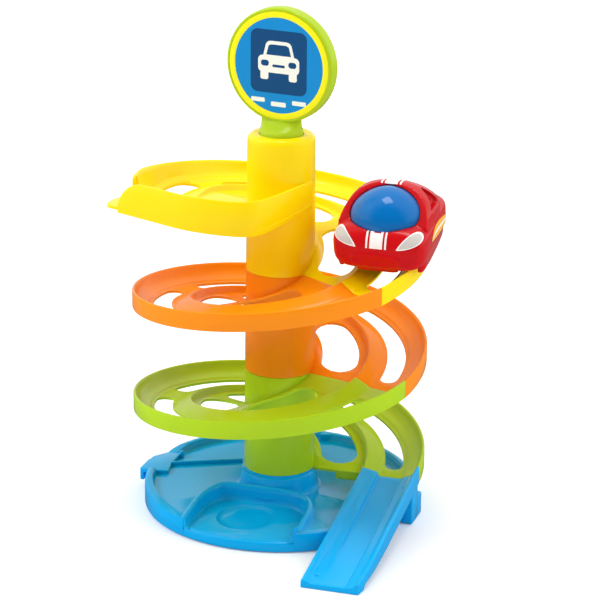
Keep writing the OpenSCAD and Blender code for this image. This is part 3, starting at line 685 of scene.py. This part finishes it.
def body_ring(row, shrink=1.0, around=72):
    """One cross-section of the body: a row is its place, half width, belt, top and low edge."""
    y, half, belt, top, low = row
    ring = []
    for i in range(around):
        a = 2 * math.pi * i / around
        c, s = math.cos(a), math.sin(a)
        x = half * math.copysign(abs(c) ** (0.55 if s >= 0 else 0.38), c)
        rise = (top - belt) * abs(s) ** 0.6 if s >= 0 else -(belt - low) * abs(s) ** 0.5
        ring.append((x * shrink, y, belt + rise * shrink))
    return ring


def roof_ring(row, around=48):
    """One arch of the cabin: a row is its place, half width and top."""
    y, half, top = row
    ring = []
    for i in range(around + 1):
        a = math.pi * i / around
        x = half * math.copysign(abs(math.cos(a)) ** 0.9, math.cos(a))
        ring.append((x, y, 34 + (top - 34) * abs(math.sin(a)) ** 0.85))
    return ring


rows = glide(body_line, 5)
nose, tail = rows[0], rows[-1]
rings = [body_ring((nose[0] - 0.9 + 0.9 * (1 - k) ** 2, *nose[1:]), k) for k in (0.05, 0.35, 0.6, 0.8, 0.93)]
rings += [body_ring(row) for row in rows]
rings += [body_ring((tail[0] + 0.9 - 0.9 * (1 - k) ** 2, *tail[1:]), k) for k in (0.93, 0.8, 0.6, 0.35, 0.05)]
car_body = loft("car_body_moulding", rings)
cabin = loft("cabin", [roof_ring(row) for row in glide(roof_line, 6)])
front_of_screen = slab("front_of_screen", [(-60, -60), (60, -60), (60, 60), (-60, 60)], 0, 60)
screen_lean = Matrix.Rotation(math.radians(36.5), 4, "X")
front_of_screen.data.transform(Matrix.Translation((0, -21.3, 43.3)) @ screen_lean)
cut(cabin, front_of_screen)
cut(car_body, cabin, "UNION")
chin = [(-15.3, -40.2), (-12, -41.3), (12, -41.3), (15.3, -40.2), (15.3, -33.2), (-15.3, -33.2)]
cut(car_body, slab("chin", chin, 11.9, 18), "UNION")
flank_line = [(-33.5, 32.6), (-30, 34.4), (-15, 34.8), (5, 34.3), (17, 33.6), (22.5, 33.2)]
for side in (-1, 1):
    skirt = []
    for y, half in flank_line:
        section = [(27.5, 9.3), (half - 2.6, 9.3), (half - 1.2, 13), (half - 0.5, 18), (half - 0.25, 25),
                   (27.5, 25)]
        skirt.append([(side * x, y, z) for x, z in section])
    cut(car_body, loft("skirt", skirt), "UNION")


def dome(grow):
    """The windscreen's dome, or the room for it when it is grown a little."""
    bpy.ops.object.select_all(action="DESELECT")
    bpy.ops.mesh.primitive_uv_sphere_add(segments=96, ring_count=64, radius=1)
    made = bpy.context.object
    for vertex in made.data.vertices:
        vertex.co.x *= 1 - 0.2 * max(0.0, vertex.co.z) ** 2
    made.scale = (26.2 + grow, 24 + grow, 19.4 + grow)
    made.location = (0, -12.2, 43.6)
    bpy.ops.object.transform_apply(location=True, rotation=True, scale=True)
    cut(made, slab("below", [(-40, -60), (40, -60), (40, 60), (-40, 60)], 0, 40.9 - grow))
    return made


cut(car_body, dome(0.35))
cut(car_body, slab("chassis_room", [(-20, -33), (20, -33), (20, 33), (-20, 33)], -5, 25.5))
for side in (-1, 1):
    corners = [(24.2, -6.5, 44.4), (28, 15.5, 42.2), (27, 16.6, 45), (17, 9.6, 56), (17, 7, 56)]
    cut(car_body, loft("side_window", [[(side * x, y, z) for x, y, z in corners],
                                       [(side * 60, y, z) for x, y, z in corners]]))
finish_with(car_body, "REMESH", mode="VOXEL", voxel_size=0.7, adaptivity=0)
finish_with(car_body, "SMOOTH", factor=0.5, iterations=5)
skin_for_stickers = car_body.copy()
skin_for_stickers.data = car_body.data.copy()
bpy.context.scene.collection.objects.link(skin_for_stickers)
settle(place(car_body, on_lane), "car", red_abs, ["car_body"])
window_abs = moulded_abs("window_blue_abs_polished", "#0470BA", "#0468B0", gloss=0.08, shine=0.35)
glass = dome(0)
glass.name = glass.data.name = "car_window_moulding"
settle(place(glass, on_lane), "car", window_abs, ["car_window"])


# Stickers on the car. Die-cut films pressed on the body: racing stripes on the bonnet and roof, silver
# headlights with a white edge, and an amber flash with a white line along each side.
def patch(name, line_low, line_high, strips, matrix, rows=6):
    """A film cut between two lines and pressed on the body along its own z; strips are (from, to, ink)."""
    films = []
    for begin, end, ink in strips:
        rings = []
        for j in range(rows + 1):
            v = begin + (end - begin) * j / rows
            rings.append([(a[0] + (b[0] - a[0]) * v, a[1] + (b[1] - a[1]) * v, 24)
                          for a, b in zip(line_low, line_high)])
        film = loft(name, rings, ring_closed=False, fill=False)
        film.matrix_world = matrix
        finish_with(film, "SHRINKWRAP", target=skin_for_stickers, wrap_method="PROJECT", use_project_z=True,
                    use_negative_direction=True, use_positive_direction=False, offset=0.1)
        finish_with(film, "SOLIDIFY", thickness=0.22, offset=1.0)
        bpy.ops.object.transform_apply(location=True, rotation=True, scale=True)
        films.append(dressed(film, ink))
    return joined(films, name) if len(films) > 1 else films[0]


film_bright = printed_film("screen_printed_film_bright_white", "#F6F3F0")
film_silver = printed_film("screen_printed_film_silver", "#C9C5BE", gloss=0.25)
film_amber = printed_film("screen_printed_film_amber", "#F5B53C")
stripes = [(0, 0.09, film_bright), (0.19, 0.81, film_bright), (0.91, 1, film_bright)]
stripe_half = 7.7
bonnet_run = [-6.9 + 13.3 * i / 12 for i in range(13)]
tilted = Matrix.Translation((0, -39.3, 36.9)) @ Matrix.Rotation(math.radians(61.6), 4, "X")
bonnet_film = patch("bonnet_stripes", [(stripe_half, y) for y in bonnet_run],
                    [(-stripe_half, y) for y in bonnet_run], stripes, tilted)
stick(place(bonnet_film, on_lane), "car", ["bonnet_label"])
roof_run = [2 + 24 * i / 16 for i in range(17)]
roof_film = patch("roof_stripes", [(stripe_half, y) for y in roof_run],
                  [(-stripe_half, y) for y in roof_run], stripes, Matrix.Translation((0, 0, 60)))
stick(place(roof_film, on_lane), "car", ["roof_label"])
lamps = []
lamp_half = 11.5
for side in (-1, 1):
    along = Vector((side * 0.73, 0.583, 0.361)).normalized()
    outward = Vector((side * 0.449, -0.799, 0.3995))
    upward = outward.cross(along).normalized()
    faced = Matrix((along, upward, outward)).transposed().to_4x4()
    lamp_at = Matrix.Translation((side * 23.2, -36.1, 35.35)) @ faced
    for grow, ink in ((1.0, film_bright), (0.84, film_silver)):
        run_x = [lamp_half * math.sin(math.radians(-90 + 180 * i / 24)) for i in range(25)]
        half = [max(0.02, 4.1 * (1 + x / lamp_half) ** 0.85 * max(0.0, 1 - x / lamp_half) ** 0.5) * grow
                for x in run_x]
        lamp = patch("headlight_films", [(x * grow, -h) for x, h in zip(run_x, half)],
                     [(x * grow, h) for x, h in zip(run_x, half)], [(0, 1, ink)], lamp_at, rows=8)
        if grow < 1:
            lamp.data.transform(Matrix.Translation(outward * 0.06))
        lamps.append(lamp)
stick(place(joined(lamps, "headlight_films"), on_lane), "car", ["headlight_labels"])
flash = [i / 24 for i in range(25)]
for side, name in ((1, "left"), (-1, "right")):
    sideways = Matrix(((0, 0, side, 0), (side, 0, 0, 0), (0, 1, 0, 0), (0, 0, 0, 1)))
    flank = Matrix.Translation((side * 20, 0, 0)) @ sideways
    low = [(side * (-19 + 46.5 * t), 27.7 - 9.6 * t + 2.4 * t * t) for t in flash]
    high = []
    for t in flash:
        swell = 7.2 * math.sin(math.pi * t ** 0.75) * (1 - 0.25 * t)
        high.append((side * (-19 + 46 * t), 27.9 + swell - 0.9 * t))
    film = patch(f"side_flash_{name}", low[::side], high[::side],
                 [(0, 0.376, film_amber), (0.38, 0.6, film_bright), (0.604, 1, film_amber)], flank)
    stick(place(film, on_lane), "car", [f"side_label_{name}"])
bpy.data.objects.remove(skin_for_stickers)


# Running gear. Four dark wheels pressed in pairs on steel axles, which turn in plain holes of the chassis.
# The chassis and the axles keep their CAD shape and get their finish here.
wheel_abs = moulded_abs("charcoal_abs_satin_moulded", "#38383B", "#303033", gloss=0.42)
chassis_abs = moulded_abs("black_abs_satin_moulded", "#2A2A2D", "#252528", gloss=0.46)
axle_wire = bpy.data.materials.new("drawn_steel_wire")
axle_wire.use_nodes = True
tree = axle_wire.node_tree
metal = tree.nodes["Principled BSDF"]
drawn = node(tree, "ShaderNodeTexNoise", [("Vector", node(tree, "ShaderNodeTexCoord"), "Object")],
             [("Scale", 1 / 0.0015), ("Detail", 3.0)])
streak = node(tree, "ShaderNodeMapRange", [("Value", drawn, "Fac")], [("To Min", 0.22), ("To Max", 0.4)])
tree.links.new(streak.outputs["Result"], metal.inputs["Roughness"])
metal.inputs["Base Color"].default_value = paint("#B9BBBE")
metal.inputs["Metallic"].default_value = 1.0
for name, finish in (("car_chassis", chassis_abs), ("front_axle", axle_wire), ("rear_axle", axle_wire)):
    dressed(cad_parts[name], finish)
wheel_profile = [(1.52, -2.3), (2.6, -2.5), (3.4, -2.4), (3.8, -1.6), (5.8, -1.5), (6.4, -2.2), (7, -2.5),
                 (8.2, -2.45), (9, -2.1), (9.4, -1.5), (9.5, -0.8)]
wheel_profile += [(r, -z) for r, z in reversed(wheel_profile)]
axle_out, axle_along, axle_up = 12, 18, 13.9186
for end, side, name in ((-1, 1, "front_left"), (-1, -1, "front_right"), (1, 1, "rear_left"),
                        (1, -1, "rear_right")):
    wheel = turned(f"wheel_{name}_moulding", wheel_profile, 64)
    on_axle = (Matrix.Translation((side * axle_out, end * axle_along, axle_up))
               @ Matrix.Rotation(math.radians(90), 4, "Y"))
    place(wheel, on_lane @ on_axle)
    settle(wheel, "front_wheels" if end < 0 else "rear_wheels", wheel_abs, [f"wheel_{name}"])


# Stage. A white paper floor that meets a white room without a line, its far end lifted for the camera only,
# and soft lights at the left, at the right and overhead. The room is dimmer in front of the toy, so that
# glossy fronts keep their colour. The camera stands where the photo's edges place it.
bpy.ops.object.select_all(action="DESELECT")
bpy.ops.mesh.primitive_plane_add(size=8, location=(0, 0, -0.0004))
floor = bpy.context.object
floor.name = "studio_floor"
white = bpy.data.materials.new("white_paper_backdrop")
white.use_nodes = True
tree = white.node_tree
paper = tree.nodes["Principled BSDF"]
paper.inputs["Roughness"].default_value = 0.9
ray = node(tree, "ShaderNodeLightPath")
pale = node(tree, "ShaderNodeMapRange", [("Value", ray, "Is Glossy Ray")],
            [("To Min", 0.9), ("To Max", 0.15)])
tree.links.new(pale.outputs["Result"], paper.inputs["Base Color"])
away = node(tree, "ShaderNodeVectorMath", [(0, node(tree, "ShaderNodeTexCoord"), "Object")],
            operation="LENGTH")
far = node(tree, "ShaderNodeMapRange", [("Value", away, "Value")],
           [("From Min", 0.6), ("From Max", 2.0), ("To Min", 0.12), ("To Max", 0.6)],
           interpolation_type="SMOOTHSTEP")
glow = node(tree, "ShaderNodeMath", [(0, far, "Result"), (1, ray, "Is Camera Ray")], operation="MULTIPLY")
lift = node(tree, "ShaderNodeEmission", [("Strength", glow, "Value")])
both = node(tree, "ShaderNodeAddShader", [(0, paper, "BSDF"), (1, lift, "Emission")])
tree.links.new(both.outputs["Shader"], tree.nodes["Material Output"].inputs["Surface"])
floor.data.materials.append(white)
world = bpy.data.worlds.new("white_studio")
bpy.context.scene.world = world
world.use_nodes = True
tree = world.node_tree
sky = tree.nodes["Background"]
sky.inputs["Color"].default_value = (1, 1, 1, 1)
ray = node(tree, "ShaderNodeLightPath")
level = node(tree, "ShaderNodeMapRange", [("Value", ray, "Is Glossy Ray")],
             [("To Min", 1.12), ("To Max", 0.8)])
way = node(tree, "ShaderNodeTexCoord")
ahead = node(tree, "ShaderNodeVectorMath", [(0, way, "Generated")], [(1, (0.293, -0.901, 0.32))],
             operation="DOT_PRODUCT")
dim = node(tree, "ShaderNodeMapRange", [("Value", ray, "Is Glossy Ray")], [("To Min", 0.4), ("To Max", 0.05)])
dark_end = node(tree, "ShaderNodeMapRange", [("Value", ahead, "Value"), ("To Max", dim, "Result")],
                [("From Min", 0.25), ("From Max", 0.8), ("To Min", 1.0)], interpolation_type="SMOOTHSTEP")
room = node(tree, "ShaderNodeMath", [(0, level, "Result"), (1, dark_end, "Result")], operation="MULTIPLY")
shown = node(tree, "ShaderNodeMath", [(0, room, "Value"), (1, ray, "Is Camera Ray")], operation="MAXIMUM")
tree.links.new(shown.outputs["Value"], sky.inputs["Strength"])
middle = Vector((0, 0, 0.15))
for name, stand, size, power in (("key_softbox", (-1.7, -0.7, 1.6), 1.1, 22),
                                 ("fill_softbox", (1.7, -0.4, 1.3), 1.1, 11),
                                 ("top_softbox", (0.1, 0.1, 2.5), 0.9, 13)):
    lamp = bpy.data.lights.new(name, "AREA")
    lamp.energy = power
    lamp.size = size
    light = bpy.data.objects.new(name, lamp)
    light.visible_glossy = name == "top_softbox"
    bpy.context.scene.collection.objects.link(light)
    light.location = stand
    light.rotation_euler = (middle - Vector(stand)).to_track_quat("-Z", "Y").to_euler()
bpy.context.scene.view_settings.view_transform = "Standard"
lens = bpy.data.cameras.new("camera")
lens.sensor_width = 36
lens.lens = 154.93
camera = bpy.data.objects.new("camera", lens)
bpy.context.scene.collection.objects.link(camera)
camera.matrix_world = (Matrix.Translation((0.56308, -1.73297, 0.76689))
                       @ Matrix.Rotation(math.radians(17.53998), 4, "Z")
                       @ Matrix.Rotation(math.radians(71.5723), 4, "X")
                       @ Matrix.Rotation(math.radians(0.5475), 4, "Z"))
bpy.context.scene.camera = camera
